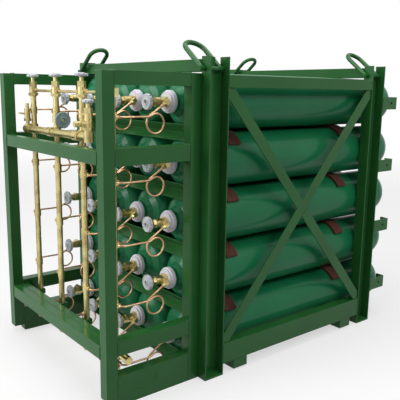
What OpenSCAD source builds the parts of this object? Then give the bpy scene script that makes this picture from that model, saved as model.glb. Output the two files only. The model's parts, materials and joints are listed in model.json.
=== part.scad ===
// Gas cylinder bundle: twenty cylinders lying in a welded lifting rack, valves and
// manifold at the front (-Y) inside a guard cage. Origin: bottom centre. Sizes in mm.

/* [Cylinders] */
// Outside diameter of one cylinder
cyl_d = 232; // [226:1:236]
// Gap between neighbouring columns
col_gap = 6; // [4:1:10]
// Gap between neighbouring rows, filled by the spacer strips
row_gap = 12; // [10:1:16]
// Length of a cylinder from its neck end to its base
cyl_len = 1388; // [1360:1:1420]
// Radius of the shoulder curve
shoulder_r = 72; // [66:1:78]
// Part of a quarter circle that the shoulder curve covers
shoulder_turn = 52; // [45:1:58]
// Radius of the curve from the wall into the base
base_r = 90; // [80:1:100]
// Width of the step where the shoulder curve meets the neck cone
neck_step = 1.5; // [1:0.1:3]
// Neck diameter
neck_d = 90; // [84:1:94]
// Diameter of the neck ring
ring_d = 92; // [88:1:100]
// Length of the neck ring
ring_len = 26; // [22:1:30]

/* [Rack] */
// Length of the rack over its corner posts
rack_l = 1132; // [1100:1:1160]
// Width of a corner post's back, along the rack
post_w = 100; // [98:1:110]
// Width of a corner post's flanges
post_flange = 54; // [50:1:58]
// Wall thickness of the corner posts
post_t = 6; // [5:0.5:8]
// Thickness of the foot plates
foot_t = 8; // [6:1:12]
// Height of the posts above the top beams
post_crown = 10; // [6:1:20]
// Height of the top and bottom cross beams
beam_h = 48; // [40:1:48]
// Depth of the cross beams, along the rack
beam_d = 48; // [36:1:48]
// Height of the top side rails
top_rail_h = 50; // [40:1:56]
// Height of the bottom side rails
low_rail_h = 90; // [70:1:100]
// Width of the brace bars
brace_w = 50; // [40:1:60]
// Thickness of the brace bars
brace_t = 6; // [5:1:10]
// Width of a bearer under the cylinders
bearer_w = 80; // [70:1:100]
// Height of a bearer
bearer_h = 42; // [36:1:60]
// Distance from each end of the rack to the middle of the near bearer
bearer_in = 200; // [180:1:240]
// Width of the spacer strips
strip_w = 64; // [50:1:70]
// How far a strip's end wraps down the outer cylinder, in degrees
strip_wrap = 55; // [40:1:60]
// Leg width of the retaining angles
angle_leg = 50; // [40:1:52]
// Thickness of the retaining angles
angle_t = 5; // [4:0.5:6]
// Length of a rear lug
lug_len = 118; // [90:1:130]
// Height of a rear lug
lug_h = 62; // [50:1:70]
// Inward return of a rear lug
lug_turn = 45; // [30:1:48]
// Bolt hole in a rear lug
lug_hole_d = 13; // [9:0.5:16]
// Upright spacing of the rear lugs
lug_step = 318; // [300:1:330]

/* [Lifting bails] */
// Bar diameter of a bail
bail_bar_d = 20; // [16:1:22]
// Pin diameter
bail_pin_d = 18; // [14:1:18]
// Straight length of a bail's legs
bail_leg = 123; // [110:1:140]
// Lean of a resting bail from upright, in degrees
bail_lean = 52; // [46:1:56]

/* [Guard cage] */
// Depth of the cage in front of the rack
cage_d = 438; // [430:1:460]
// Height of the cage
cage_h = 1265; // [1240:1:1266]
// Square tube of the cage
cage_tube = 50; // [44:1:50]
// How far the cage stands inside the rack's side faces
cage_inset = 50; // [44:1:50]
// Height of the cage's front posts above the ground
cage_lift = 30; // [20:1:40]
// Height of the cage's mid rail, from the top row's axis
cage_mid_z = -194; // [-199:1:-189]
// Height of the cage's lower rail, from the lowest row's axis
cage_low_z = 57; // [52:1:62]
// Height of the front mid bar, from the top row's axis
front_mid_z = -197; // [-204:1:-194]
// Height of the front bottom beam, from the lowest row's axis
front_low_z = 37; // [34:1:40]

/* [Valves] */
// Handwheel diameter on the cylinder valves
wheel_d = 64; // [56:1:70]
// Handwheel thickness
wheel_t = 22; // [20:1:24]
// Number of finger hollows around a handwheel
wheel_dents = 8; // [6:1:10]
// Spindle diameter
spindle_d = 10; // [8:0.5:10]
// Diameter of a cylinder valve's body
valve_d = 36; // [32:1:38]
// Reach of a cylinder valve's outlet from its axis
outlet_reach = 45; // [43:1:47]
// Diameter of the station handwheels
station_wheel_d = 55; // [48:1:60]
// Diameter of the outlet handwheel
outlet_wheel_d = 50; // [44:1:56]
// Diameter of the branch handwheel
branch_wheel_d = 72; // [64:1:74]

/* [Manifold] */
// Distance of the risers behind the cage's front face
manifold_in = 110; // [106:1:116]
// Riser diameter
riser_d = 25; // [22:1:26]
// How much wider apart the risers stand than the columns
riser_spread = 2; // [1:0.5:2.5]
// Height of the risers' lower ends, from the lowest row's axis
riser_foot = -88; // [-108:1:-82]
// Reach of a tee from the riser's axis
tee_reach = 32; // [30:1:33]
// Header diameter
header_d = 32; // [26:1:36]
// Height of the header, from the top row's axis
header_z = -140; // [-144:1:-134]
// Length of the header's tees
header_tee = 44; // [42:1:46]
// Height of the link tubes between the station valves, from the top row's axis
link_z = 34; // [26:1:38]
// Diameter of the link tubes
link_d = 12; // [10:0.5:14]
// Height of the branch valve, from the top row's axis
branch_z = -88; // [-92:1:-88]
// Height of the fill coupling, from the lowest row's axis
fill_z = -14; // [-15:1:-10]

/* [Pigtails] */
// Pigtail tube diameter
pig_d = 8; // [6:0.5:8]
// Radius of a pigtail's loop
pig_loop_r = 38; // [32:1:40]
// Downward lean of a pigtail where it leaves the valve, in degrees
pig_lean = 32; // [28:1:36]
// Straight length from the valve to the loop
pig_lead = 70; // [60:1:76]
// Bend radius where a pigtail levels out
pig_sweep_r = 40; // [34:1:50]
// Bend radius at the tee
pig_bend_r = 20; // [18:1:21]

/* [Hidden] */
$fn = 48;
cols = 4;
rows = 5;
col_list = [1 : cols];
row_list = [1 : rows];

// clearances
seat_gap = 0.3;
weld_gap = 0.2;
run_fit = 0.05;
sleeve_fit = 0.1;
side_clear = 3;
stack_clear = 2;
bail_clear = 3;
web_clear = 2;
bail_over = 7;

// cylinder field
cyl_r = cyl_d / 2;
col_pitch = cyl_d + col_gap;
row_pitch = cyl_d + row_gap;
bearer_top = foot_t + bearer_h;
function col_x(c) = ((cols + 1) / 2 - c) * col_pitch;
function side_of(c) = c <= cols / 2 ? 1 : -1;
function row_z(r) = bearer_top + row_gap + cyl_r + (rows - r) * row_pitch;
stack_top = row_z(1) + cyl_r;

// heights that follow the top row and the lowest row
cage_mid_at = row_z(1) + cage_mid_z;
mid_bar_at = row_z(1) + front_mid_z;
header_at = row_z(1) + header_z;
link_at = row_z(1) + link_z;
branch_at = row_z(1) + branch_z;
cage_low_at = row_z(rows) + cage_low_z;
low_bar_at = row_z(rows) + front_low_z;
riser_end = row_z(rows) + riser_foot;
fill_at = row_z(rows) + fill_z;

// rack
rack_w = (cols - 1) * col_pitch + cyl_d + 2 * (side_clear + post_flange);
half_w = rack_w / 2;
web_x = half_w - post_flange;
beam_z = stack_top + stack_clear;
crown_z = max(beam_z, cage_h + bail_over);
rack_h = crown_z + beam_h + post_crown;
top_rail_drop = 60;
top_rail_z = beam_z - top_rail_drop;
beam_in = 8;
pad_over = 40;
low_beam_in = 20;

// cylinder stations, measured rearward from the rack's front face
neck_out = 58;
shoulder_y = 45;
cone_mid_r = 60;
cone_mid_y = -25;
cone_end_y = -45;
cyl_over = cyl_len - neck_out - rack_l;
base_y = rack_l + cyl_over;
dome_y = base_y - base_r;
shoulder_c = cyl_r - shoulder_r;
turn_r = shoulder_c + shoulder_r * cos(shoulder_turn);
turn_y = shoulder_y - shoulder_r * sin(shoulder_turn);
base_c = cyl_r - base_r;

// front face of the rack in the shared frame
front_y = (cage_d - rack_l - cyl_over) / 2;

// cylinder valve stations
ring_step = 8;
ring_bevel = 2;
ring_lip = 6;
valve_y = -neck_out - ring_len;
stem_d = 32;
hex_len = 12;
valve_len = 51;
body_end = valve_y - valve_len;
outlet_in = 26;
outlet_y = valve_y - outlet_in;
bonnet_len = 15;
bonnet_end = body_end - bonnet_len;
gland_len = 10;
gland_end = bonnet_end - gland_len + seat_gap;
gland_wall = 4;
hex_rim = 2;
nut_in = 22;
nut_len = 12;
nipple_nut = 8;
nipple_rim = 1.5;
wheel_y = gland_end - seat_gap;
outlet_d = 22;
nut_af = 30;
elbow = 18;
nipple_d = 13;
nipple_len = 22;
hub_depth = 6;
wheel_cut = 4;
wheel_thin = wheel_t - wheel_cut;
dent_d = 14;
dent_out = 4.5;

// bails
bail_r = bail_bar_d / 2;
pin_x = half_w - post_flange + post_t + bail_r + web_clear;
pin_rise = 12;
pin_z = crown_z + pin_rise;
leg_near = -bail_clear - bail_r;
leg_far = post_w - post_t - bail_clear - bail_r;
bow_r = (leg_far - leg_near) / 2;
notch_side = 7;
notch_y = leg_far - bail_r - notch_side;
rest_slope = 90 - bail_lean;
notch_z = pin_z + (bail_r + web_clear) * tan(rest_slope) - bail_r / cos(rest_slope) - seat_gap;
pin_over = 1;
pin_end = post_w + pin_over + seat_gap;
pin_head = 4;
pin_lip = 4;
pin_head_d = bail_pin_d + 2 * pin_lip;
pin_tail = 2;

// cage
cage_x = half_w - cage_inset;
cage_in = cage_x - cage_tube;
cage_angle_t = 5;
cage_angle_in = cage_x - cage_angle_t;
skid_h = 45;
kick_top = 122;
low_half = 30;
mid_half = 32;
rail_z = [
  [0, skid_h],
  [skid_h + weld_gap, kick_top],
  [cage_low_at - low_half, cage_low_at + low_half],
  [cage_mid_at - mid_half, cage_mid_at + mid_half],
  [cage_h - cage_tube, cage_h]
];
front_mid_d = 40;
front_mid_h = 52;
front_low_h = 56;
front_low_d = 41;
front_back_d = 35;

// manifold
riser_r = riser_d / 2;
riser_pitch = col_pitch + riser_spread;
function riser_x(c) = ((cols + 1) / 2 - c) * riser_pitch;
manifold_y = cage_d - manifold_in;
man_y = front_y - manifold_y;
station_cols = [2 : cols];
link_rise = 26;
station_z = link_at - link_rise;
outlet_off = 106;
outlet_x = riser_x(2) + outlet_off;
header_r = header_d / 2;
header_wall = 4;
header_nut_rim = 3;
header_nut = 14;
collar_wall = 5;
header_gap = 0.5;
header_y = man_y - riser_r - header_r - header_gap;
outlet_valve_z = header_at + header_tee / 2;
relief_off = 8;
relief_x = riser_x(cols) - relief_off;
relief_boss_d = 24;
relief_boss_h = 6;
relief_seat_z = header_at + header_r + relief_boss_h;
link_reach = 30;
branch_collar = 16;
clamp_w = 36;
clamp_h = 24;
clamp_back = 18;
tee_drop = nipple_len * sin(pig_lean) + pig_lead * sin(pig_lean) + pig_sweep_r * (1 - cos(pig_lean));
tee_half = 16;
tee_wall = 3;
tee_d = 16;
tee_nut = 11;
tee_nut_af = 17;
tee_lip = 4;
cap_rim = 2.5;
cap_len = 14;
cap_over = 4;
link_elbow = 34;
elbow_nut = 10;
elbow_nut_af = 24;
station_bonnet = 24;
station_gland = 16;
station_body = 44;
outlet_body = 70;
outlet_bonnet = 22;
outlet_gland = 16;
branch_reach = 52;
upright_d = 34;
upright_hex_z = 4;
upright_hex_af = 38;
upright_hex = 12;
side_d = 18;
side_nut = 10;
side_nut_af = 22;
nozzle_hex = 26;
nozzle_d = 21;
nozzle_len = 26;
nozzle_base = 36;
nozzle_z = 30;
branch_d = 26;
branch_gland = 12;
branch_nut = 14;
branch_lap = 6;
fill_d = 20;
fill_neck = 40;
fill_nut_in = 36;
fill_nut = 14;
fill_nut_af = 34;
fill_body = 24;
fill_body_d = 30;
fill_cap = 30;
fill_cap_d = 34;
relief_stem = 12;
relief_body = 58;
relief_body_d = 27;
relief_hex = 12;
relief_rim = 1;
relief_cap = 24;
relief_cap_d = 17;
vent_d = 10;
vent_z = 45;
vent_end = 15;

// pigtails
pig_r = pig_d / 2;
tube_lead = 2;
tube_sides = 8;
loop_steps = 8;
bend_steps = 4;
pig_drift = riser_x(1) + tee_reach + pig_bend_r + tube_lead - col_x(1) - outlet_reach;
x_dir = [1, 0, 0];
lead_dir = [0, -cos(pig_lean), -sin(pig_lean)];
loop_dir = [0, sin(pig_lean), -cos(pig_lean)];

frame_green = [0.20, 0.42, 0.22];
bottle_green = [0.16, 0.42, 0.30];
ring_white = [0.84, 0.83, 0.87];
brass_tone = [0.78, 0.62, 0.28];
copper_tone = [0.72, 0.45, 0.25];
wheel_grey = [0.80, 0.80, 0.80];
branch_blue = [0.50, 0.56, 0.64];
strip_brown = [0.34, 0.16, 0.12];

// turns a shape that stands on Z so that it runs to the rear
module to_rear() { rotate([-90, 0, 0]) children(); }
// turns a shape that stands on Z so that it runs to the front
module to_front() { rotate([90, 0, 0]) children(); }
// turns a shape that stands on Z so that it runs to the right
module to_right() { rotate([0, 90, 0]) children(); }
// box between two corners
module box(a, b) { translate(a) cube(b - a); }
// hexagon bar of a given width across flats
module hex_bar(af, h) { cylinder(d = af / cos(30), h = h, $fn = 6); }
// a shape on the right side and its mirror image on the left
module both_sides() {
  children();
  mirror([1, 0, 0]) children();
}

// half section of one cylinder, up the axis from the neck to the base
module cylinder_section() {
  polygon([
    [0, -neck_out], [neck_d / 2, -neck_out], [neck_d / 2, cone_end_y],
    [cone_mid_r, cone_mid_y], [turn_r - neck_step, turn_y], [0, turn_y]
  ]);
  translate([0, turn_y]) square([shoulder_c, shoulder_y - turn_y]);
  intersection() {
    translate([shoulder_c, shoulder_y]) circle(shoulder_r);
    translate([shoulder_c, turn_y]) square([2 * shoulder_r, shoulder_y - turn_y]);
  }
  translate([0, shoulder_y]) square([cyl_r, dome_y - shoulder_y]);
  translate([0, dome_y]) square([base_c, base_r]);
  intersection() {
    translate([base_c, dome_y]) circle(base_r);
    translate([base_c, dome_y]) square(2 * base_r);
  }
}

module cylinders_row(r) {
  color(bottle_green)
    for (c = col_list)
      translate([col_x(c), front_y, row_z(r)]) to_rear() rotate_extrude() cylinder_section();
}

// threaded ring behind each valve: a wide flange and a narrower step in front
module neck_rings() {
  bore = stem_d / 2 + sleeve_fit;
  flange = ring_len - ring_step;
  rim = ring_d / 2;
  color(ring_white)
    for (r = row_list)
      for (c = col_list)
        translate([col_x(c), front_y - neck_out, row_z(r)]) to_front() rotate_extrude() polygon([
          [bore, 0], [rim - ring_bevel, 0], [rim, ring_bevel], [rim, flange - ring_bevel],
          [rim - ring_bevel, flange], [rim - ring_lip, flange], [rim - ring_lip, ring_len], [bore, ring_len]
        ]);
}

// brass valve: stem, hexagon, body, bonnet, spindle, side outlet with nut and elbow nipple
module cylinder_valve() {
  translate([0, -neck_out, 0]) to_front() cylinder(d = stem_d, h = ring_len);
  translate([0, valve_y, 0]) to_front() hex_bar(valve_d + 2 * hex_rim, hex_len);
  translate([0, valve_y, 0]) to_front() cylinder(d = valve_d, h = valve_y - body_end);
  translate([0, body_end, 0]) to_front() hex_bar(nut_af, body_end - bonnet_end);
  translate([0, bonnet_end, 0]) to_front()
    cylinder(d = spindle_d + 2 * gland_wall, h = bonnet_end - gland_end);
  translate([0, gland_end, 0]) to_front() cylinder(d = spindle_d, h = wheel_t - hub_depth);
  translate([0, outlet_y, 0]) {
    to_right() cylinder(d = outlet_d, h = outlet_reach);
    translate([outlet_reach - nut_in, 0, 0]) to_right() hex_bar(nut_af - 2 * hex_rim, nut_len);
    rotate([pig_lean, 0, 0]) {
      translate([outlet_reach, 0, 0]) cube(elbow, center = true);
      translate([outlet_reach, 0, 0]) to_front() cylinder(d = nipple_d, h = nipple_len);
      translate([outlet_reach, -elbow / 2, 0]) to_front() hex_bar(nipple_d + 2 * nipple_rim, nipple_nut);
    }
  }
}

module cylinder_valves() {
  color(brass_tone)
    for (r = row_list)
      for (c = col_list)
        translate([col_x(c), front_y, row_z(r)])
          mirror([side_of(c) < 0 ? 1 : 0, 0, 0]) cylinder_valve();
}

// route of a pigtail around the valve's own axis: nipple, loop, level run, bend, tee
function arc_points(o, ex, ey, r, turn, steps) =
  [for (i = [1 : steps]) o + r * (cos(turn * i / steps) * ex + sin(turn * i / steps) * ey)];
function unit(v) = v / norm(v);
function pigtail_route(c) = let (
  start = [outlet_reach, outlet_y, 0] + nipple_len * lead_dir,
  loop_top = start + pig_lead * lead_dir,
  low_point = loop_top + 2 * pig_loop_r * loop_dir + pig_drift / 2 * x_dir,
  loop_out = loop_top + pig_drift * x_dir,
  turn_in = unit(low_point - loop_top),
  turn_out = unit(loop_out - low_point),
  half_r = norm(low_point - loop_top) / 2,
  sweep_c = loop_out - pig_sweep_r * loop_dir,
  level = sweep_c - [0, 0, pig_sweep_r],
  bend = [level.x, pig_bend_r - manifold_y, level.z],
  tee = [riser_x(c) - col_x(c) + tee_reach, -manifold_y, level.z]
) concat(
  [start, loop_top],
  arc_points(loop_top + half_r * turn_in, -turn_in, lead_dir, half_r, 180, loop_steps),
  arc_points(low_point + half_r * turn_out, -turn_out, -lead_dir, half_r, 180, loop_steps),
  arc_points(sweep_c, loop_dir, lead_dir, pig_sweep_r, pig_lean, 2),
  [bend],
  arc_points(bend - pig_bend_r * x_dir, x_dir, [0, -1, 0], pig_bend_r, 90, bend_steps),
  [tee]
);

// round tube along a route, its rings carried on from one to the next without twist
module tube_along(route, r) {
  last = len(route) - 1;
  heading = [for (i = [0 : last])
    i == 0 ? unit(route[1] - route[0]) :
    i == last ? unit(route[last] - route[last - 1]) :
    unit(unit(route[i] - route[i - 1]) + unit(route[i + 1] - route[i]))];
  across = [for (i = 0, n = x_dir; i <= last;
    i = i + 1, n = i > last ? n : unit(n - (n * heading[i]) * heading[i])) n];
  m = tube_sides;
  points = [for (i = [0 : last]) for (j = [0 : m - 1])
    route[i] + r * (cos(360 * j / m) * across[i] + sin(360 * j / m) * cross(heading[i], across[i]))];
  walls = [for (i = [0 : last - 1]) for (j = [0 : m - 1]) let (
    a = i * m + j,
    b = i * m + (j + 1) % m
  ) each [[a, a + m, b + m], [a, b + m, b]]];
  ends = [[for (j = [0 : m - 1]) j], [for (j = [0 : m - 1]) (last + 1) * m - 1 - j]];
  polyhedron(points, concat(walls, ends));
}

module pigtails_col(c) {
  side = side_of(c);
  own = side > 0 ? c : cols + 1 - c;
  color(copper_tone)
    for (r = row_list)
      mirror([side < 0 ? 1 : 0, 0, 0])
        translate([col_x(own), front_y, row_z(r)]) tube_along(pigtail_route(own), pig_r);
}

// riser pipe with a capped foot and one tee for each row
module riser(c) {
  top = c == 1 ? link_at - link_elbow / 2 : station_z;
  translate([riser_x(c), man_y, 0]) {
    translate([0, 0, riser_end]) cylinder(r = riser_r, h = top - riser_end);
    translate([0, 0, riser_end - cap_over]) hex_bar(riser_d + 2 * cap_rim, cap_len);
    for (r = row_list)
      translate([0, 0, row_z(r) - tee_drop])
        mirror([side_of(c) < 0 ? 1 : 0, 0, 0]) {
          translate([0, 0, -tee_half]) cylinder(r = riser_r + tee_wall, h = 2 * tee_half);
          to_right() cylinder(d = tee_d, h = tee_reach - tee_lip);
          translate([tee_reach - tee_nut, 0, 0]) to_right() hex_bar(tee_nut_af, tee_nut);
        }
  }
}

module risers() {
  color(brass_tone) {
    for (c = col_list) riser(c);
    translate([riser_x(1), man_y, link_at]) cube(link_elbow, center = true);
    translate([riser_x(1), man_y, link_at + link_elbow / 2]) hex_bar(elbow_nut_af, elbow_nut);
  }
}

// blocks that hold each riser to the cage's mid bar and bottom beam
module riser_clamps() {
  clamp_front = [front_y - cage_d + front_mid_d, front_y - cage_d + front_low_d + weld_gap + front_back_d];
  clamp_z = [mid_bar_at, low_bar_at];
  color(frame_green)
    for (c = col_list)
      for (i = [0, 1])
        difference() {
          box(
            [riser_x(c) - clamp_w / 2, clamp_front[i], clamp_z[i] - clamp_h / 2],
            [riser_x(c) + clamp_w / 2, man_y + clamp_back, clamp_z[i] + clamp_h / 2]
          );
          translate([riser_x(c), man_y, clamp_z[i] - clamp_h])
            cylinder(r = riser_r + sleeve_fit, h = 2 * clamp_h);
        }
}

// header in front of the risers, with a tee on three of them and an elbow under the outlet valve
module header_pipe() {
  color(brass_tone)
    difference() {
      union() {
        translate([riser_x(cols), header_y, header_at]) to_right()
          cylinder(d = header_d, h = outlet_x - riser_x(cols));
        for (c = station_cols) {
          translate([riser_x(c) - header_tee / 2, header_y, header_at]) to_right()
            cylinder(r = header_r + header_wall, h = header_tee);
          translate([riser_x(c), man_y, header_at - header_tee / 2])
            cylinder(r = riser_r + collar_wall, h = header_tee);
        }
        translate([outlet_x, header_y, header_at - header_r - header_wall])
          cylinder(r = header_r + header_wall, h = outlet_valve_z - header_at + header_r + header_wall);
        translate([riser_x(2) + header_tee / 2, header_y, header_at]) to_right()
          hex_bar(header_d + 2 * header_nut_rim, header_nut);
        translate([relief_x, header_y, header_at]) cylinder(d = relief_boss_d, h = relief_seat_z - header_at);
      }
      for (c = station_cols)
        translate([riser_x(c), man_y, header_at - header_tee])
          cylinder(r = riser_r + sleeve_fit, h = 2 * header_tee);
    }
}

// upright valve body with bonnet and spindle, standing on its own foot
module valve_body(body, bonnet, gland) {
  cylinder(d = upright_d, h = body);
  translate([0, 0, upright_hex_z]) hex_bar(upright_hex_af, upright_hex);
  translate([0, 0, body]) hex_bar(nut_af, bonnet);
  translate([0, 0, body + bonnet]) cylinder(d = spindle_d + 2 * gland_wall, h = gland - seat_gap);
  translate([0, 0, body + bonnet]) cylinder(d = spindle_d, h = gland + wheel_thin - hub_depth);
}

// side outlet with its union nut
module side_outlet(reach) {
  to_right() cylinder(d = side_d, h = reach);
  translate([reach - side_nut, 0, 0]) to_right() hex_bar(side_nut_af, side_nut);
}

// station valves on the risers, the outlet valve with its front nozzle, and the branch valve
module manifold_valves() {
  color(brass_tone) {
    for (c = station_cols)
      translate([riser_x(c), man_y, station_z]) {
        valve_body(station_body, station_bonnet, station_gland);
        translate([0, 0, link_at - station_z]) side_outlet(link_reach);
        if (c < cols)
          translate([0, 0, link_at - station_z]) mirror([1, 0, 0]) side_outlet(link_reach);
      }
    translate([outlet_x, header_y, outlet_valve_z]) {
      valve_body(outlet_body, outlet_bonnet, outlet_gland);
      translate([0, 0, nozzle_z]) to_front() hex_bar(nozzle_hex, nozzle_base);
      translate([0, 0, nozzle_z]) to_front() cylinder(d = nozzle_d, h = nozzle_base + nozzle_len);
    }
    branch_valve();
  }
}

// valve that sticks out sideways from the second riser from the left
module branch_valve() {
  gland = branch_reach - branch_gland;
  translate([riser_x(3), man_y, branch_at])
    difference() {
      union() {
        translate([0, 0, -branch_collar]) cylinder(r = riser_r + collar_wall, h = 2 * branch_collar);
        to_right() cylinder(d = branch_d, h = gland - branch_nut + branch_lap);
        translate([gland - branch_nut, 0, 0]) to_right() hex_bar(nut_af, branch_nut);
        translate([gland, 0, 0]) to_right()
          cylinder(d = spindle_d + 2 * gland_wall, h = branch_gland - seat_gap);
        translate([gland, 0, 0]) to_right()
          cylinder(d = spindle_d, h = branch_gland + wheel_thin - hub_depth);
      }
      translate([0, 0, -2 * branch_collar])
        cylinder(r = riser_r + sleeve_fit, h = 4 * branch_collar);
    }
}

// thin tubes that join the station valves to each other and to the right riser
module link_tubes() {
  color(brass_tone)
    for (c = station_cols) {
      left = riser_x(c) + link_reach;
      right = c == 2 ? riser_x(1) - link_elbow / 2 : riser_x(c - 1) - link_reach;
      translate([left, man_y, link_at]) to_right() cylinder(d = link_d, h = right - left);
    }
}

// relief valve on the left end of the header, with its vent tube
module relief_valve() {
  color(brass_tone)
    translate([relief_x, header_y, relief_seat_z]) {
      cylinder(d = relief_cap_d, h = relief_stem);
      translate([0, 0, relief_stem]) cylinder(d = relief_body_d, h = relief_body);
      translate([0, 0, relief_stem]) hex_bar(relief_body_d + 2 * relief_rim, relief_hex);
      translate([0, 0, relief_stem + relief_body]) cylinder(d = relief_cap_d, h = relief_cap);
      translate([0, 0, vent_z]) mirror([1, 0, 0]) to_right()
        cylinder(d = vent_d, h = cage_x + relief_x - vent_end);
    }
}

// capped coupling at the foot of the right riser
module fill_coupling() {
  body = fill_nut_in + fill_nut;
  color(brass_tone)
    translate([riser_x(1), man_y, fill_at])
      difference() {
        to_right() union() {
          cylinder(d = fill_d, h = fill_neck);
          translate([0, 0, fill_nut_in]) hex_bar(fill_nut_af, fill_nut);
          translate([0, 0, body]) cylinder(d = fill_body_d, h = fill_body);
          translate([0, 0, body + fill_body]) cylinder(d1 = fill_cap_d, d2 = fill_body_d, h = fill_cap);
        }
        translate([0, 0, -fill_neck]) cylinder(r = riser_r + sleeve_fit, h = 2 * fill_neck);
      }
}

// corner post: channel open to the side, foot plate, two ears and a notch for the bail
module corner_post() {
  translate([half_w, 0, 0])
    difference() {
      translate([-post_flange, 0, 0]) cube([post_flange, post_w, rack_h]);
      translate([-post_flange + post_t, post_t, foot_t])
        cube([post_flange, post_w - 2 * post_t, rack_h]);
      translate([-2 * post_flange, notch_y, notch_z])
        cube([2 * post_flange, post_w - post_t - notch_y, rack_h]);
      translate([pin_x - half_w, -post_w, pin_z]) to_rear()
        cylinder(d = bail_pin_d + 2 * run_fit, h = 3 * post_w);
    }
}

// bail with its pin, leaning inward on the post's notch
module bail(side) {
  translate([side * pin_x, 0, pin_z]) {
    translate([0, leg_near - bail_r - pin_tail, 0]) to_rear()
      cylinder(d = bail_pin_d, h = pin_end - leg_near + bail_r + pin_tail);
    translate([0, pin_end, 0]) to_rear() cylinder(d = pin_head_d, h = pin_head);
    rotate([0, -side * bail_lean, 0]) {
      for (y = [leg_near, leg_far])
        translate([0, y, 0]) {
          cylinder(r = bail_r, h = bail_leg);
          translate([0, -bail_r, 0]) to_rear() cylinder(r = bail_r, h = 2 * bail_r);
        }
      translate([0, (leg_near + leg_far) / 2, bail_leg]) rotate([90, 0, 90])
        rotate_extrude(angle = 180) translate([bow_r, 0]) circle(bail_r);
    }
  }
}

rear_post_y = front_y + rack_l - post_w;

module side_rails() {
  color(frame_green)
    both_sides() {
      box([web_x, front_y + post_w, top_rail_z], [half_w, rear_post_y, top_rail_z + top_rail_h]);
      box([web_x, front_y + post_w, bearer_top], [half_w, rear_post_y, bearer_top + low_rail_h]);
    }
}

// flat bar from one corner of the side window to the other, cut to the window
module brace_bar(rise, width) {
  low = bearer_top + low_rail_h;
  run = rear_post_y - front_y - post_w;
  up = top_rail_z - low;
  intersection() {
    box([0, front_y + post_w, low], [brace_t, rear_post_y, top_rail_z]);
    translate([-brace_t, (front_y + post_w + rear_post_y) / 2, (low + top_rail_z) / 2])
      rotate([rise * atan2(up, run), 0, 0])
        translate([0, -run - up, -width / 2]) cube([3 * brace_t, 2 * (run + up), width]);
  }
}

module side_braces() {
  color(frame_green)
    both_sides()
      translate([half_w - 2 * brace_t, 0, 0]) {
        brace_bar(1, brace_w);
        difference() {
          brace_bar(-1, brace_w);
          brace_bar(1, brace_w + 2 * weld_gap);
        }
      }
}

// beams between the posts and the two bearers under the cylinders
module cross_beams() {
  rear = front_y + rack_l;
  color(frame_green) {
    box([-web_x, front_y + beam_in, beam_z], [web_x, front_y + beam_in + beam_d, beam_z + beam_h]);
    box([-web_x, rear_post_y + beam_in, beam_z], [web_x, rear_post_y + beam_in + beam_d, beam_z + beam_h]);
    box([-web_x, front_y + low_beam_in, foot_t], [web_x, front_y + low_beam_in + beam_d, bearer_top]);
    box([-web_x, rear - low_beam_in - beam_d, foot_t], [web_x, rear - low_beam_in, bearer_top]);
    for (y = [bearer_in, rack_l - bearer_in])
      box([-half_w, front_y + y - bearer_w / 2, foot_t], [half_w, front_y + y + bearer_w / 2, bearer_top]);
  }
}

// angle bars across the front, on edge between the rows, open to the front
angle_apex = 15;
module retaining_angles() {
  color(frame_green)
    for (i = row_list)
      translate([-cage_angle_in, front_y + angle_apex, row_z(i) - row_pitch / 2])
        rotate([135, 0, 0]) to_right() linear_extrude(2 * cage_angle_in) polygon([
          [0, 0], [-angle_leg, 0], [-angle_leg, angle_t], [-angle_t, angle_t],
          [-angle_t, angle_leg], [0, angle_leg]
        ]);
}

// angle lugs with a bolt hole, four on each rear post
lug_z = 195;
lug_hole_y = 73;
module rear_lugs() {
  color(frame_green)
    both_sides()
      for (i = [0 : 3])
        translate([half_w, front_y + rack_l, lug_z + i * lug_step])
          difference() {
            union() {
              translate([-post_t, 0, -lug_h / 2]) cube([post_t, lug_len, lug_h]);
              translate([-lug_turn, lug_len - post_t, -lug_h / 2]) cube([lug_turn, post_t, lug_h]);
            }
            translate([-2 * post_t, lug_hole_y, 0]) to_right() cylinder(d = lug_hole_d, h = 4 * post_t);
          }
}

// side frame of the cage: tube post in front, angle post at the rack, four rails and the skid
module cage_frame() {
  color(frame_green)
    translate([cage_in, front_y, 0]) {
      box([0, -cage_d, cage_lift], [cage_tube, cage_tube - cage_d, cage_h]);
      difference() {
        box([0, -cage_tube, 0], [cage_tube, 0, cage_h]);
        box(
          [-cage_tube, cage_angle_t - cage_tube, -cage_tube],
          [cage_tube - cage_angle_t, cage_tube, 2 * cage_h]
        );
      }
      for (z = rail_z)
        box([0, -cage_d + cage_tube + weld_gap, z[0]], [cage_tube, -cage_tube - weld_gap, z[1]]);
    }
}

// mid bar and the double bottom beam across the front of the cage
module cage_front_beams() {
  color(frame_green)
    translate([0, front_y - cage_d, 0]) {
      box([-cage_in, 0, mid_bar_at - front_mid_h / 2], [cage_in, front_mid_d, mid_bar_at + front_mid_h / 2]);
      box([-cage_in, 0, low_bar_at - front_low_h / 2], [cage_in, front_low_d, low_bar_at + front_low_h / 2]);
      box(
        [-cage_in, front_low_d + weld_gap, low_bar_at - front_low_h / 2],
        [cage_in, front_low_d + weld_gap + front_back_d, low_bar_at + front_low_h / 2]
      );
    }
}

// strip over one row, wrapped down the outer cylinders
module spacer_strip(r) {
  translate([0, 0, row_z(r)]) {
    box([-col_x(1), -strip_w / 2, cyl_r + seat_gap], [col_x(1), strip_w / 2, cyl_r + row_gap - seat_gap]);
    both_sides()
      translate([col_x(1), -strip_w / 2, 0]) to_rear() rotate([0, 0, -90])
        rotate_extrude(angle = strip_wrap)
          translate([cyl_r + seat_gap, 0]) square([row_gap - 2 * seat_gap, strip_w]);
  }
}

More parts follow.
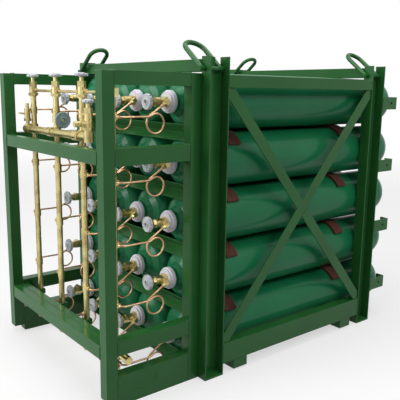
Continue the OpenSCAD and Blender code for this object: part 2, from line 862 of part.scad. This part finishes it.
module spacer_strips() {
  pad = col_x(1) + pad_over;
  color(strip_brown)
    for (y = [bearer_in, rack_l - bearer_in])
      translate([0, front_y + y, 0]) {
        for (r = [2 : rows]) spacer_strip(r);
        box([-pad, -strip_w / 2, bearer_top], [pad, strip_w / 2, bearer_top + row_gap - seat_gap]);
      }
}

// handwheel with a dished face, finger hollows and a counterbored hub, standing on its back
module wheel(d, t) {
  r = d / 2;
  bore = spindle_d / 2 + run_fit;
  color(wheel_grey)
    difference() {
      rotate_extrude() polygon([
        [bore, 0], [bore + 6, 0], [bore + 7, 3], [r * 0.7, 5], [r - 4, 3], [r - 1, 5], [r, 8],
        [r, t - 8], [r - 1, t - 5], [r - 4, t - 3], [r * 0.72, t - 4], [bore + 9, t - 3],
        [bore + 7, t], [bore + 4, t], [bore + 3, t - 1], [bore + 3, t - hub_depth], [bore, t - hub_depth]
      ]);
      for (i = [1 : wheel_dents])
        rotate([0, 0, i * 360 / wheel_dents]) translate([r + dent_out, 0, -t])
          cylinder(d = dent_d, h = 3 * t);
    }
}

module handwheel(r, c) {
  translate([col_x(c), front_y + wheel_y, row_z(r)]) to_front() wheel(wheel_d, wheel_t);
}

module station_wheel(i) {
  translate([riser_x(cols + 1 - i), man_y, station_z + station_body + station_bonnet + station_gland])
    wheel(station_wheel_d, wheel_thin);
}

module outlet_wheel() {
  translate([outlet_x, header_y, outlet_valve_z + outlet_body + outlet_bonnet + outlet_gland])
    wheel(outlet_wheel_d, wheel_thin);
}

module branch_wheel() {
  translate([riser_x(3) + branch_reach, man_y, branch_at]) to_right() wheel(branch_wheel_d, wheel_thin);
}

module front_end() { translate([0, front_y, 0]) children(); }
module rear_end() { translate([0, rear_post_y, 0]) children(); }
module on_left() { mirror([1, 0, 0]) children(); }

for (r = row_list)
  cylinders_row(r);
neck_rings();
cylinder_valves();
for (c = col_list)
  pigtails_col(c);
risers();
riser_clamps();
header_pipe();
manifold_valves();
link_tubes();
relief_valve();
fill_coupling();
color(frame_green) front_end() corner_post();  // post_front_right
color(frame_green) on_left() front_end() corner_post();  // post_front_left
color(frame_green) rear_end() corner_post();  // post_rear_right
color(frame_green) on_left() rear_end() corner_post();  // post_rear_left
side_rails();
side_braces();
cross_beams();
retaining_angles();
rear_lugs();
cage_frame();  // cage_frame_right
on_left() cage_frame();  // cage_frame_left
cage_front_beams();
spacer_strips();
for (r = row_list)
  for (c = col_list)
    handwheel(r, c);
for (i = [1 : 3])
  station_wheel(i);
outlet_wheel();
branch_wheel();
color(frame_green) front_end() bail(1);  // bail_front_right
color(frame_green) front_end() bail(-1);  // bail_front_left
color(frame_green) rear_end() bail(1);  // bail_rear_right
color(frame_green) rear_end() bail(-1);  // bail_rear_left
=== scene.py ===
import json
import math
import bpy
import numpy as np
from mathutils import Matrix, Vector


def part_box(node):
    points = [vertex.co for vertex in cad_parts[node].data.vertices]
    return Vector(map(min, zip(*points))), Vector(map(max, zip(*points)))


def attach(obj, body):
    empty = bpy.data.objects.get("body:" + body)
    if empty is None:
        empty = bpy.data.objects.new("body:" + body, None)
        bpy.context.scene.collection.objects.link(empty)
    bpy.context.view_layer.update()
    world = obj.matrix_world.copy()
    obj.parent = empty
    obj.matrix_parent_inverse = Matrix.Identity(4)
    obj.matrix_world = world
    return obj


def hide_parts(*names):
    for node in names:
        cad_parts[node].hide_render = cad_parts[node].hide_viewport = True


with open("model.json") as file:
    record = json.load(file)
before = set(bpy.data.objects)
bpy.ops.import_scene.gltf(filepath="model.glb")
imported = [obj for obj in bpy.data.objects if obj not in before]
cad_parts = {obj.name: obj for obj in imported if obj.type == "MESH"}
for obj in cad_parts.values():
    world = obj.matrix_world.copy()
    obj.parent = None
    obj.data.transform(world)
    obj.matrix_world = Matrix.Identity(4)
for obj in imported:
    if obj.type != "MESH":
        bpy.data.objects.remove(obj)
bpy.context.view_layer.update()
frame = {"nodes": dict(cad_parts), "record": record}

scene = bpy.context.scene
nodes = frame["nodes"]
print("frame loaded:", len(nodes), "nodes")


# One socket, with the operators that shader sums need
class Shade:
    def __init__(self, tree, socket):
        self.tree = tree
        self.socket = socket

    # adds any node: settings go first, then each socket gets a value or a link
    def node(self, kind, settings=None, sockets=None, out=0):
        added = self.tree.nodes.new(kind)
        for key, value in (settings or {}).items():
            setattr(added, key, value)
        for key, value in (sockets or {}).items():
            if isinstance(value, Shade):
                self.tree.links.new(value.socket, added.inputs[key])
            else:
                added.inputs[key].default_value = value
        return Shade(self.tree, added.outputs[out])

    def sum(self, operation, first, second):
        return self.node("ShaderNodeMath", {"operation": operation}, {0: first, 1: second})

    def __add__(self, other):
        return self.sum("ADD", self, other)

    def __radd__(self, other):
        return self.sum("ADD", other, self)

    def __rsub__(self, other):
        return self.sum("SUBTRACT", other, self)

    def __mul__(self, other):
        return self.sum("MULTIPLY", self, other)

    def __rmul__(self, other):
        return self.sum("MULTIPLY", other, self)

    # value noise on these coordinates, 0 to 1
    def noise(self, scale, detail):
        return self.node("ShaderNodeTexNoise", None, {"Vector": self, "Scale": scale, "Detail": detail})

    # 0 below low, 1 above high, straight between
    def band(self, low, high):
        return self.node("ShaderNodeMapRange", None, {"Value": self, "From Min": low, "From Max": high})

    # colour between two by this value
    def blend(self, dark, light):
        return self.node("ShaderNodeMix", {"data_type": "RGBA"}, {0: self, 6: dark, 7: light}, 2)

    # coordinates stretched along each axis
    def stretch(self, scale):
        return self.node("ShaderNodeMapping", None, {"Vector": self, "Scale": scale})

    # small hills for the Normal socket
    def bump(self, strength, distance):
        return self.node("ShaderNodeBump", None, {"Height": self, "Strength": strength, "Distance": distance})


def newMaterial(name, fixed):
    material = bpy.data.materials.new(name)
    material.use_nodes = True
    tree = material.node_tree
    shader = tree.nodes["Principled BSDF"]
    for key, value in fixed.items():
        shader.inputs[key].default_value = value
    place = Shade(tree, tree.nodes.new("ShaderNodeTexCoord").outputs["Object"])
    return material, shader, place


def feed(shader, **links):
    for key, shade in links.items():
        shader.id_data.links.new(shade.socket, shader.inputs[key.replace("_", " ")])


def rgb(red, green, blue):
    return (red, green, blue, 1.0)


paintValues = {
    "frame": {
        "dark": rgb(0.015, 0.098, 0.020), "light": rgb(0.021, 0.120, 0.027),
        "gloss": 0.05, "rough": 0.34, "coat": 0.38,
    },
    "cylinder": {
        "dark": rgb(0.007, 0.135, 0.050), "light": rgb(0.010, 0.165, 0.064),
        "gloss": 0.08, "rough": 0.30, "coat": 0.26,
    },
    "ring": {
        "dark": rgb(0.60, 0.58, 0.66), "light": rgb(0.72, 0.70, 0.77),
        "gloss": 0.25, "rough": 0.42, "coat": 0.10,
    },
    "coatRough": 0.16,
    "driftScale": 4.0, "driftFrom": 0.3, "driftFull": 0.7, "driftRough": 0.08,
    "scuffScale": 34.0, "scuffFrom": 0.62, "scuffFull": 0.74, "scuffRough": 0.16, "scuffCoatLoss": 0.5,
    "peelScale": 260.0, "peelStrength": 0.06, "peelDepth": 0.0006,
}


# gloss paint under a clear coat: slow shade drift, orange-peel hills and a few dull scuffs
def paintFinish(name, tone):
    v = paintValues
    fixed = {"Metallic": 0.0, "Specular IOR Level": tone["gloss"], "Coat Roughness": v["coatRough"]}
    material, shader, place = newMaterial(name, fixed)
    drift = place.noise(v["driftScale"], 4.0)
    scuff = place.noise(v["scuffScale"], 6.0).band(v["scuffFrom"], v["scuffFull"])
    peel = place.noise(v["peelScale"], 1.0)
    feed(
        shader,
        Base_Color=drift.band(v["driftFrom"], v["driftFull"]).blend(tone["dark"], tone["light"]),
        Roughness=tone["rough"] + v["driftRough"] * drift + v["scuffRough"] * scuff,
        Coat_Weight=tone["coat"] * (1 - v["scuffCoatLoss"] * scuff),
        Normal=peel.bump(v["peelStrength"], v["peelDepth"]),
    )
    return material


metalValues = {
    "brass": {"bright": rgb(0.64, 0.54, 0.25), "dull": rgb(0.36, 0.28, 0.12), "rough": 0.24},
    "copper": {"bright": rgb(0.58, 0.37, 0.21), "dull": rgb(0.29, 0.17, 0.09), "rough": 0.26},
    "tarnishScale": 22.0, "tarnishFrom": 0.42, "tarnishFull": 0.72, "tarnishRough": 0.22,
    "grainScale": 420.0, "grainRough": 0.06, "grainStrength": 0.10, "grainDepth": 0.0003,
}


# bare metal: tarnish patches and a fine grain
def metalFinish(name, tone):
    v = metalValues
    material, shader, place = newMaterial(name, {"Metallic": 1.0})
    tarnish = place.noise(v["tarnishScale"], 5.0).band(v["tarnishFrom"], v["tarnishFull"])
    grain = place.noise(v["grainScale"], 2.0)
    feed(
        shader,
        Base_Color=tarnish.blend(tone["bright"], tone["dull"]),
        Roughness=tone["rough"] + v["tarnishRough"] * tarnish + v["grainRough"] * grain,
        Normal=grain.bump(v["grainStrength"], v["grainDepth"]),
    )
    return material


castValues = {
    "grey": {"dark": rgb(0.38, 0.41, 0.44), "light": rgb(0.54, 0.57, 0.59)},
    # blue-grey tone: the pale grey wheel colour darkened and tinted, as painted shade
    "blue": {"dark": rgb(0.15, 0.22, 0.23), "light": rgb(0.22, 0.30, 0.31)},
    "metallic": 0.15, "gloss": 0.4, "rough": 0.42,
    "handledScale": 26.0, "handledFrom": 0.35, "handledFull": 0.7,
    "grainScale": 520.0, "grainRough": 0.18, "grainStrength": 0.14, "grainDepth": 0.0004,
}


# pale cast handwheel: fine sand grain and handled, slightly darker patches; its blue-grey tone is the same
# wheel darkened as painted shade
def castFinish(name, tone):
    v = castValues
    material, shader, place = newMaterial(name, {"Metallic": v["metallic"], "Specular IOR Level": v["gloss"]})
    handled = place.noise(v["handledScale"], 4.0).band(v["handledFrom"], v["handledFull"])
    grain = place.noise(v["grainScale"], 2.0)
    feed(
        shader,
        Base_Color=handled.blend(tone["light"], tone["dark"]),
        Roughness=v["rough"] + v["grainRough"] * grain,
        Normal=grain.bump(v["grainStrength"], v["grainDepth"]),
    )
    return material


stripValues = {
    "dark": rgb(0.050, 0.016, 0.011), "light": rgb(0.105, 0.034, 0.022), "gloss": 0.25, "rough": 0.70,
    "patchScale": 18.0, "patchFrom": 0.3, "patchFull": 0.7,
    "grainStretch": (1.0, 2.2, 1.0), "grainScale": 300.0,
    "grainRough": 0.18, "grainStrength": 0.25, "grainDepth": 0.0006,
}


# reddish brown rubber, dull with a fine cloth-like grain
def stripFinish(name):
    v = stripValues
    material, shader, place = newMaterial(name, {"Metallic": 0.0, "Specular IOR Level": v["gloss"]})
    patch = place.noise(v["patchScale"], 4.0)
    grain = place.stretch(v["grainStretch"]).noise(v["grainScale"], 2.0)
    feed(
        shader,
        Base_Color=patch.band(v["patchFrom"], v["patchFull"]).blend(v["dark"], v["light"]),
        Roughness=v["rough"] + v["grainRough"] * grain,
        Normal=grain.bump(v["grainStrength"], v["grainDepth"]),
    )
    return material


finishes = {
    "frame_paint": paintFinish("frameGreen", paintValues["frame"]),
    "cylinder_paint": paintFinish("cylinderGreen", paintValues["cylinder"]),
    "ring_paint": paintFinish("ringWhite", paintValues["ring"]),
    "brass": metalFinish("yellowBrass", metalValues["brass"]),
    "copper_tube": metalFinish("copperTube", metalValues["copper"]),
    "wheel_grey": castFinish("wheelGrey", castValues["grey"]),
    # wheel_blue gets the darkened copy of the wheel colour, which is painted shade
    "wheel_blue": castFinish("wheelShadedBlue", castValues["blue"]),
    "strip_rubber": stripFinish("stripBrown"),
}
print("finishes made:", len(finishes))

slotOf = {part["node"]: part["material_slot"] for part in frame["record"]["subparts"]}
for name, part in nodes.items():
    part.data.materials.clear()
    part.data.materials.append(finishes[slotOf[name]])


# flat-sided welded pieces get a narrow rounded edge that catches the light
edgeValues = {"width": 0.0022, "segments": 2, "angle": math.radians(40), "merge": 0.00005}
squarePieces = [
    "post_front_right", "post_front_left", "post_rear_right", "post_rear_left", "side_rails", "side_braces",
    "cross_beams", "retaining_angles", "rear_lugs", "cage_frame_right", "cage_frame_left", "cage_front_beams",
    "riser_clamps",
]


def roundEdges(part):
    weld = part.modifiers.new("join", "WELD")
    weld.merge_threshold = edgeValues["merge"]
    bevel = part.modifiers.new("edge", "BEVEL")
    bevel.width = edgeValues["width"]
    bevel.segments = edgeValues["segments"]
    bevel.limit_method = "ANGLE"
    bevel.angle_limit = edgeValues["angle"]
    bevel.harden_normals = True


for name in squarePieces:
    roundEdges(nodes[name])
print("edges rounded on", len(squarePieces), "pieces")


# puts a finished surface into a new object that rides with a body
def addPiece(name, points, faces, slot, body):
    mesh = bpy.data.meshes.new(name)
    mesh.from_pydata(points.tolist(), [], faces)
    mesh.polygons.foreach_set("use_smooth", np.full(len(mesh.polygons), True))
    mesh.materials.append(finishes[slot])
    mesh.update()
    piece = bpy.data.objects.new(name, mesh)
    scene.collection.objects.link(piece)
    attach(piece, body)
    return piece


def unit(vector):
    return vector / np.linalg.norm(vector, axis=-1, keepdims=True)


# quads between neighbouring rings of equal count, and one flat face that closes each end
def ringFaces(rings, sides, start=0):
    i, j = np.meshgrid(np.arange(rings - 1), np.arange(sides), indexing="ij")
    a = i * sides + j
    b = i * sides + (j + 1) % sides
    walls = np.stack([a, b, b + sides, a + sides], axis=-1).reshape(-1, 4) + start
    firstEnd = list(range(start + sides - 1, start - 1, -1))
    lastEnd = list(range(start + (rings - 1) * sides, start + rings * sides))
    return walls.tolist() + [firstEnd, lastEnd]


# circle of the given radius carried along a path: each ring stands square to the path,
# and its first spoke is the last one's spoke turned just enough to stay square
def sweepTube(path, radius, sides, spoke):
    heading = unit(np.gradient(path, axis=0))
    spokes = np.empty_like(path)
    for k in range(len(path)):
        spoke = unit(spoke - spoke.dot(heading[k]) * heading[k])
        spokes[k] = spoke
    other = np.cross(heading, spokes)
    turn = np.linspace(0, 2 * np.pi, sides, endpoint=False)
    ring = np.cos(turn)[None, :, None] * spokes[:, None] + np.sin(turn)[None, :, None] * other[:, None]
    return (path[:, None] + radius[:, None, None] * ring).reshape(-1, 3)


mirror = np.array([-1.0, 1.0, 1.0])  # left is the right side's mirror image


def turnedOver(faces):
    return [face[::-1] for face in faces]


def boxMiddle(name):
    low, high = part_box(name)
    return (np.array(low) + np.array(high)) / 2


pigtailValues = {
    "radius": 0.004, "sides": 14, "reach": 0.045, "nipple": 0.022, "lean": math.radians(32), "lead": 0.070,
    "loop": 0.038, "sweep": 0.040, "bend": 0.020, "tee": 0.032, "entry": 0.002, "outletBehindWheel": 0.050,
    "step": 0.005, "ferrule": 0.010, "ferruleSwell": 0.0016, "columns": 4, "rows": 5,
}


# points on a circle about o, from the ex spoke toward the ey spoke
def arcPoints(o, ex, ey, radius, turn):
    count = max(3, int(math.ceil(radius * turn / pigtailValues["step"])))
    t = np.linspace(0, turn, count + 1)[1:, None]
    return o + radius * (np.cos(t) * ex + np.sin(t) * ey)


def linePoints(a, b):
    count = max(1, int(math.ceil(np.linalg.norm(b - a) / pigtailValues["step"])))
    return a + np.linspace(0, 1, count + 1)[1:, None] * (b - a)


# valve nipple, slanting lead, one full loop that drifts sideways, level run, bend into the tee
def pigtailPath(valveX, valveZ, wheelBack, riserX, drift, manifoldY):
    v = pigtailValues
    side = np.array([1.0, 0.0, 0.0])
    lead = np.array([0.0, -math.cos(v["lean"]), -math.sin(v["lean"])])
    down = np.array([0.0, math.sin(v["lean"]), -math.cos(v["lean"])])
    outlet = np.array([valveX + v["reach"], wheelBack + v["outletBehindWheel"], valveZ])
    start = outlet + v["nipple"] * lead
    top = start + v["lead"] * lead
    low = top + 2 * v["loop"] * down + drift / 2 * side
    away = top + drift * side
    half = np.linalg.norm(low - top) / 2
    turnIn, turnOut = unit(low - top), unit(away - low)
    sweep = away - v["sweep"] * down
    level = sweep - np.array([0.0, 0.0, v["sweep"]])
    bend = np.array([level[0], manifoldY + v["bend"], level[2]])
    tee = np.array([riserX + v["tee"], manifoldY, level[2]])
    return np.concatenate([
        start[None], linePoints(start, top),
        arcPoints(top + half * turnIn, -turnIn, lead, half, math.pi),
        arcPoints(low + half * turnOut, -turnOut, -lead, half, math.pi),
        arcPoints(sweep, down, lead, v["sweep"], v["lean"]),
        linePoints(level, bend),
        arcPoints(bend - v["bend"] * side, side, np.array([0.0, -1.0, 0.0]), v["bend"], math.pi / 2),
        linePoints(bend + np.array([-v["bend"], -v["bend"], 0.0]), tee),
    ])


# tube radius along the path, with a short swollen ferrule at each end
def ferruleRadius(path):
    v = pigtailValues
    run = np.concatenate([[0], np.cumsum(np.linalg.norm(np.diff(path, axis=0), axis=1))])
    near = np.minimum(run, run[-1] - run)
    return v["radius"] + v["ferruleSwell"] * (near < v["ferrule"])


# five tubes to a column; the two left columns mirror the two right ones
def makePigtails():
    v = pigtailValues
    manifoldY = boxMiddle("station_wheel_1")[1]
    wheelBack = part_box("handwheel_row1_col1")[1][1]
    risers = {1: -boxMiddle("station_wheel_1")[0], 2: boxMiddle("station_wheel_3")[0]}
    firstValve = boxMiddle("handwheel_row1_col1")[0]
    drift = risers[1] + v["tee"] + v["bend"] + v["entry"] - firstValve - v["reach"]
    for column in range(1, v["columns"] + 1):
        own = min(column, v["columns"] + 1 - column)
        points, faces, start = [], [], 0
        for row in range(1, v["rows"] + 1):
            valve = boxMiddle(f"handwheel_row{row}_col{own}")
            path = pigtailPath(valve[0], valve[2], wheelBack, risers[own], drift, manifoldY)
            faces += ringFaces(len(path), v["sides"], start)
            points.append(sweepTube(path, ferruleRadius(path), v["sides"], np.array([1.0, 0.0, 0.0])))
            start += len(points[-1])
        points = np.concatenate(points)
        if column != own:
            points, faces = points * mirror, turnedOver(faces)
        piece = addPiece(f"pigtails{column}", points, faces, "copper_tube", "bundle")
        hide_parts(f"pigtails_col_{column}")


makePigtails()
print("pigtails made")


threadValues = {
    "radius": 0.0105, "depth": 0.0010, "pitch": 0.0024, "length": 0.022, "lead": 0.002, "sides": 40,
    "aboveHeader": 0.030, "turnRings": 8, "skin": 0.0001, "setBack": 0.001,
}


# threaded sleeve on the outlet nozzle: radius rises and falls along a helix of the given pitch
def makeNozzleThread():
    v = threadValues
    middleX = boxMiddle("outlet_wheel")[0]
    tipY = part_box("manifold_valves")[0][1] + v["setBack"]
    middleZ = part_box("header_pipe")[1][2] + v["aboveHeader"]
    rings = int(v["length"] / v["pitch"] * v["turnRings"])
    turns = np.linspace(0, 2 * np.pi, v["sides"], endpoint=False)
    along, turn = np.meshgrid(np.linspace(0, v["length"], rings), turns, indexing="ij")
    wave = np.abs(((along / v["pitch"] + turn / (2 * np.pi)) % 1.0) - 0.5) * 2
    taper = np.clip(np.minimum(along, v["length"] - along) / v["lead"], 0, 1)
    radius = v["radius"] + v["skin"] + v["depth"] * wave * taper
    across, upward = radius * np.cos(turn), radius * np.sin(turn)
    points = np.stack([middleX + across, tipY + along, middleZ + upward], axis=-1)
    faces = turnedOver(ringFaces(rings, v["sides"]))
    addPiece("nozzleThread", points.reshape(-1, 3), faces, "brass", "bundle")


makeNozzleThread()
print("nozzle thread made")


weldValues = {
    "radius": 0.0028, "ripple": 0.0004, "pitch": 0.0036, "sides": 8, "rippleRings": 4, "endRings": 8,
    "endTaper": 0.02,  # share of the full radius, squared, that is left at a bead's tip
    "clear": 0.006,  # no bead lies lower than this over the ground
    # low and high edge of each rail
    "cageRails": [(0.0, 0.045), (0.0452, 0.122), (0.205, 0.265), (0.928, 0.992), (1.215, 1.265)],
    "rackRails": [(0.050, 0.140), (1.212, 1.262)],
    # front, back, low and high edge of each bar
    "frontBars": [(0.0, 0.040, 0.931, 0.983), (0.0, 0.0762, 0.187, 0.243)],
    "topBeam": (0.008, 0.056, 1.272, 1.320),
    "lugs": 4, "lugFirst": 0.195, "lugStep": 0.318, "lugHalf": 0.031, "lugPlate": 0.006,
}


# straight weld bead: a round ridge that swells once every ripple and tapers off at both ends
def weldBead(a, b):
    v = weldValues
    length = np.linalg.norm(b - a)
    count = int(length / v["pitch"] * v["rippleRings"]) + v["endRings"]
    run = np.linspace(0, length, count)
    path = a + run[:, None] / length * (b - a)
    ends = np.sqrt(np.clip(np.minimum(run, length - run) / v["radius"], v["endTaper"], 1))
    radius = (v["radius"] + v["ripple"] * np.cos(2 * np.pi * run / v["pitch"])) * ends
    spoke = np.array([0.3, 0.5, 0.8])  # along no bar, so it never lines up with a bead
    return sweepTube(path, radius, v["sides"], spoke)


# the four edges of a bar's end: axis is the bar's own direction, the ranges lie across it
def endEdges(axis, at, near, far):
    corners = [(near[0], far[0]), (near[1], far[0]), (near[1], far[1]), (near[0], far[1])]
    corners = np.insert(np.array(corners), axis, at, axis=1)
    return [(corners[k], corners[(k + 1) % 4]) for k in range(4)]


# every welded bar end on the right side, as the arguments of endEdges
def weldedEnds():
    v = weldValues
    cageLow, cageHigh = (np.array(c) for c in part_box("cage_frame_right"))
    postLow, postHigh = (np.array(c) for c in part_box("post_front_right"))
    rearLow, rearHigh = (np.array(c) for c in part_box("post_rear_right"))
    tube = cageHigh[0] - cageLow[0]
    ends = []
    for rail in v["cageRails"]:
        for y in (cageLow[1] + tube, cageHigh[1] - tube):
            ends.append((1, y, (cageLow[0], cageHigh[0]), rail))
    for rail in v["rackRails"]:
        for y in (postHigh[1], rearLow[1]):
            ends.append((1, y, (postLow[0], postHigh[0]), rail))
    for front, back, low, high in v["frontBars"]:
        ends.append((0, cageLow[0], (cageLow[1] + front, cageLow[1] + back), (low, high)))
    front, back, low, high = v["topBeam"]
    for y in (postLow[1], rearLow[1]):
        ends.append((0, postLow[0], (y + front, y + back), (low, high)))
    plate = (rearHigh[0] - v["lugPlate"], rearHigh[0])
    for z in v["lugFirst"] + v["lugStep"] * np.arange(v["lugs"]):
        ends.append((1, rearHigh[1], plate, (z - v["lugHalf"], z + v["lugHalf"])))
    return ends


def makeWelds():
    v = weldValues
    points, faces, start = [], [], 0
    for end in weldedEnds():
        for a, b in endEdges(*end):
            if max(a[2], b[2]) < v["clear"]:
                continue
            a, b = (np.array([c[0], c[1], max(c[2], v["clear"])]) for c in (a, b))
            bead = weldBead(a, b)
            rings = len(bead) // v["sides"]
            points += [bead, bead * mirror]
            faces += ringFaces(rings, v["sides"], start)
            faces += turnedOver(ringFaces(rings, v["sides"], start + len(bead)))
            start += 2 * len(bead)
    addPiece("weldBeads", np.concatenate(points), faces, "frame_paint", "bundle")


makeWelds()
print("weld beads made")


def mixShader(tree, factor, first, second):
    mix = tree.nodes.new("ShaderNodeMixShader")
    tree.links.new(factor.socket, mix.inputs[0])
    tree.links.new(first, mix.inputs[1])
    tree.links.new(second, mix.inputs[2])
    return mix.outputs[0]


# 1 for rays that show the surroundings as they look
def shownRays(tree):
    path = tree.nodes.new("ShaderNodeLightPath")
    kinds = ("Is Camera Ray", "Is Glossy Ray", "Is Transmission Ray")
    camera, glossy, through = (Shade(tree, path.outputs[kind]) for kind in kinds)
    return (camera + glossy + through).band(0.0, 1.0)


stageValues = {
    "floorSize": 160.0, "floorRough": 0.9, "glow": 0.60, "fadeNear": 2.2, "fadeFar": 9.0,
    "seenTone": rgb(0.84, 0.84, 0.84), "bounceTone": rgb(0.38, 0.38, 0.38),
    "white": rgb(1, 1, 1), "worldLight": 0.32,
}


# pale floor that keeps the shadow near the object and fades to white far away
def makeFloor():
    v = stageValues
    half = v["floorSize"] / 2
    mesh = bpy.data.meshes.new("floor")
    corners = [(-half, -half, 0), (half, -half, 0), (half, half, 0), (-half, half, 0)]
    mesh.from_pydata(corners, [], [(0, 1, 2, 3)])
    floor = bpy.data.objects.new("floor", mesh)
    scene.collection.objects.link(floor)
    material, shader, place = newMaterial("floorWhite", {"Roughness": v["floorRough"]})
    tree = material.node_tree
    shown = shownRays(tree)
    feed(shader, Base_Color=shown.blend(v["bounceTone"], v["seenTone"]))
    white = tree.nodes.new("ShaderNodeEmission")
    distance = place.node("ShaderNodeVectorMath", {"operation": "LENGTH"}, {0: place}, "Value")
    fade = distance.band(v["fadeNear"], v["fadeFar"])
    factor = shown * (v["glow"] + (1 - v["glow"]) * fade)
    surface = mixShader(tree, factor, shader.outputs[0], white.outputs[0])
    tree.links.new(surface, tree.nodes["Material Output"].inputs["Surface"])
    mesh.materials.append(material)


# soft light from all round, with plain white behind the object
def makeWorld():
    v = stageValues
    world = bpy.data.worlds.new("studio")
    world.use_nodes = True
    tree = world.node_tree
    backdrop = tree.nodes["Background"]
    light = tree.nodes.new("ShaderNodeBackground")
    for background, strength in ((backdrop, 1.0), (light, v["worldLight"])):
        background.inputs["Color"].default_value = v["white"]
        background.inputs["Strength"].default_value = strength
    surface = mixShader(tree, shownRays(tree), light.outputs[0], backdrop.outputs[0])
    tree.links.new(surface, tree.nodes["World Output"].inputs["Surface"])
    scene.world = world


lampValues = {
    "target": (0.0, -0.2, 0.65),
    "lamps": [
        {"name": "frontSoftbox", "place": (-1.6, -5.2, 3.0), "size": (3.2, 3.2), "watts": 225.0},
        {"name": "topSoftbox", "place": (0.3, -0.4, 4.6), "size": (3.6, 3.6), "watts": 130.0},
        {"name": "sideStrip", "place": (3.6, 0.9, 3.6), "size": (3.4, 0.7), "watts": 60.0},
    ],
}


def makeLamps():
    target = Vector(lampValues["target"])
    for v in lampValues["lamps"]:
        data = bpy.data.lights.new(v["name"], "AREA")
        data.shape = "RECTANGLE"
        data.size, data.size_y = v["size"]
        data.energy = v["watts"]
        lamp = bpy.data.objects.new(v["name"], data)
        lamp.location = v["place"]
        lamp.rotation_euler = (target - Vector(v["place"])).to_track_quat("-Z", "Y").to_euler()
        scene.collection.objects.link(lamp)


# camera at the photo's viewpoint: place in metres, turns in degrees,
# focal length in pixels of a frame that is framePixels wide
cameraValues = {
    "place": (2.2662, -1.8860, 1.2006), "yaw": 51.151, "pitch": 10.690, "roll": 0.849,
    "focalPixels": 581.44, "framePixels": 400.0, "sensor": 36.0, "farClip": 200.0,
}


def makeCamera():
    v = cameraValues
    yaw, pitch, roll = (math.radians(v[key]) for key in ("yaw", "pitch", "roll"))
    ahead = Vector((-math.sin(yaw) * math.cos(pitch), math.cos(yaw) * math.cos(pitch), -math.sin(pitch)))
    flat = Vector((math.cos(yaw), math.sin(yaw), 0.0))
    above = flat.cross(ahead)
    right = math.cos(roll) * flat + math.sin(roll) * above
    up = math.cos(roll) * above - math.sin(roll) * flat
    data = bpy.data.cameras.new("photoView")
    data.sensor_width = v["sensor"]
    data.sensor_fit = "HORIZONTAL"
    data.lens = v["focalPixels"] / v["framePixels"] * v["sensor"]
    data.clip_end = v["farClip"]
    camera = bpy.data.objects.new("photoView", data)
    turn = Matrix((right, up, -ahead)).transposed().to_4x4()
    camera.matrix_world = Matrix.Translation(Vector(v["place"])) @ turn
    scene.collection.objects.link(camera)
    scene.camera = camera


makeFloor()
makeWorld()
makeLamps()
makeCamera()
scene.view_settings.view_transform = "Standard"
print("stage, lamps and camera set")
